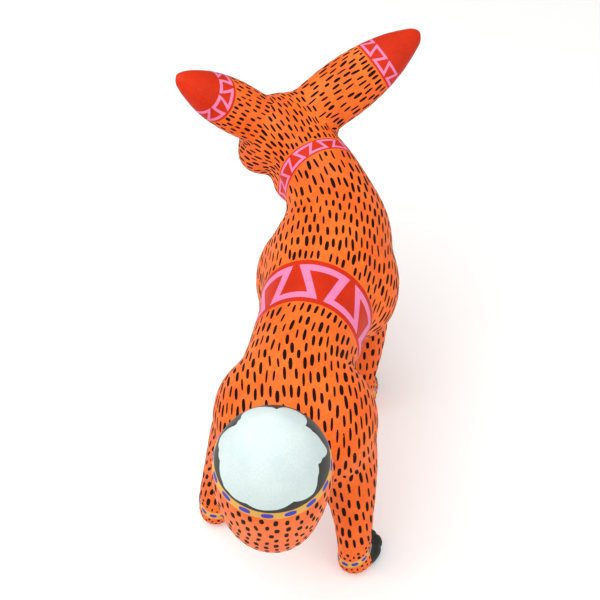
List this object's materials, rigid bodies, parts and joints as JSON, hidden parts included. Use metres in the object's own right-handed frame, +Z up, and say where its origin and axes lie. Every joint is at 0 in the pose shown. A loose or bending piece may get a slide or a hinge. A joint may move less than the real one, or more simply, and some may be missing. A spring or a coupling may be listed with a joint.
{
  "type": "wooden fox figure",
  "caption": "Carved and painted wooden fox standing on four legs, head turned, with a raised tail and ears that pull out of sockets.",
  "frame": {"origin": "centre of the fox's box on the surface it stands on", "axes": "+Z up, the fox faces -Y, its right side towards -X"},
  "size_m": [0.136, 0.3296, 0.1838],
  "materials": {
    "body_paint": "satin",
    "head_paint": "satin",
    "leg_paint": "satin",
    "ear_paint": "satin",
    "tail_paint": "satin",
    "bare_wood": "matte"
  },
  "bodies": {
    "fox": {"torso": "body_paint", "head": "head_paint", "leg_front_left": "leg_paint", "leg_front_right": "leg_paint", "leg_hind_left": "leg_paint", "leg_hind_right": "leg_paint", "neck_dowel": "bare_wood", "leg_front_left_dowel": "bare_wood", "leg_front_right_dowel": "bare_wood", "leg_hind_left_dowel": "bare_wood", "leg_hind_right_dowel": "bare_wood"},
    "ear_left_peg": {"ear_left_peg": "bare_wood"},
    "ear_left": {"ear_left": "ear_paint"},
    "ear_right_peg": {"ear_right_peg": "bare_wood"},
    "ear_right": {"ear_right": "ear_paint"},
    "tail_peg": {"tail_peg": "bare_wood"},
    "tail": {"tail": "tail_paint"}
  },
  "joints": [
    {"name": "ear_left_pull", "type": "slide", "parent": "fox", "child": "ear_left_peg", "axis": [0.7323, 0.2292, 0.6412], "range_m": [0, 0.014]},
    {"name": "ear_left_turn", "type": "hinge", "parent": "ear_left_peg", "child": "ear_left", "pos_m": [0.03409, -0.11103, 0.15343], "axis": [0.7323, 0.2292, 0.6412], "range_deg": [-20, 20]},
    {"name": "ear_right_pull", "type": "slide", "parent": "fox", "child": "ear_right_peg", "axis": [-0.8009, -0.409, 0.4373], "range_m": [0, 0.014]},
    {"name": "ear_right_turn", "type": "hinge", "parent": "ear_right_peg", "child": "ear_right", "pos_m": [-0.01565, -0.13173, 0.14567], "axis": [-0.8009, -0.409, 0.4373], "range_deg": [-20, 20]},
    {"name": "tail_pull", "type": "slide", "parent": "fox", "child": "tail_peg", "axis": [0.0701, 0.9967, 0.0401], "range_m": [0, 0.02]},
    {"name": "tail_turn", "type": "hinge", "parent": "tail_peg", "child": "tail", "pos_m": [0.01, 0.10169, 0.0947], "axis": [0.0701, 0.9967, 0.0401], "range_deg": [-25, 25]}
  ]
}
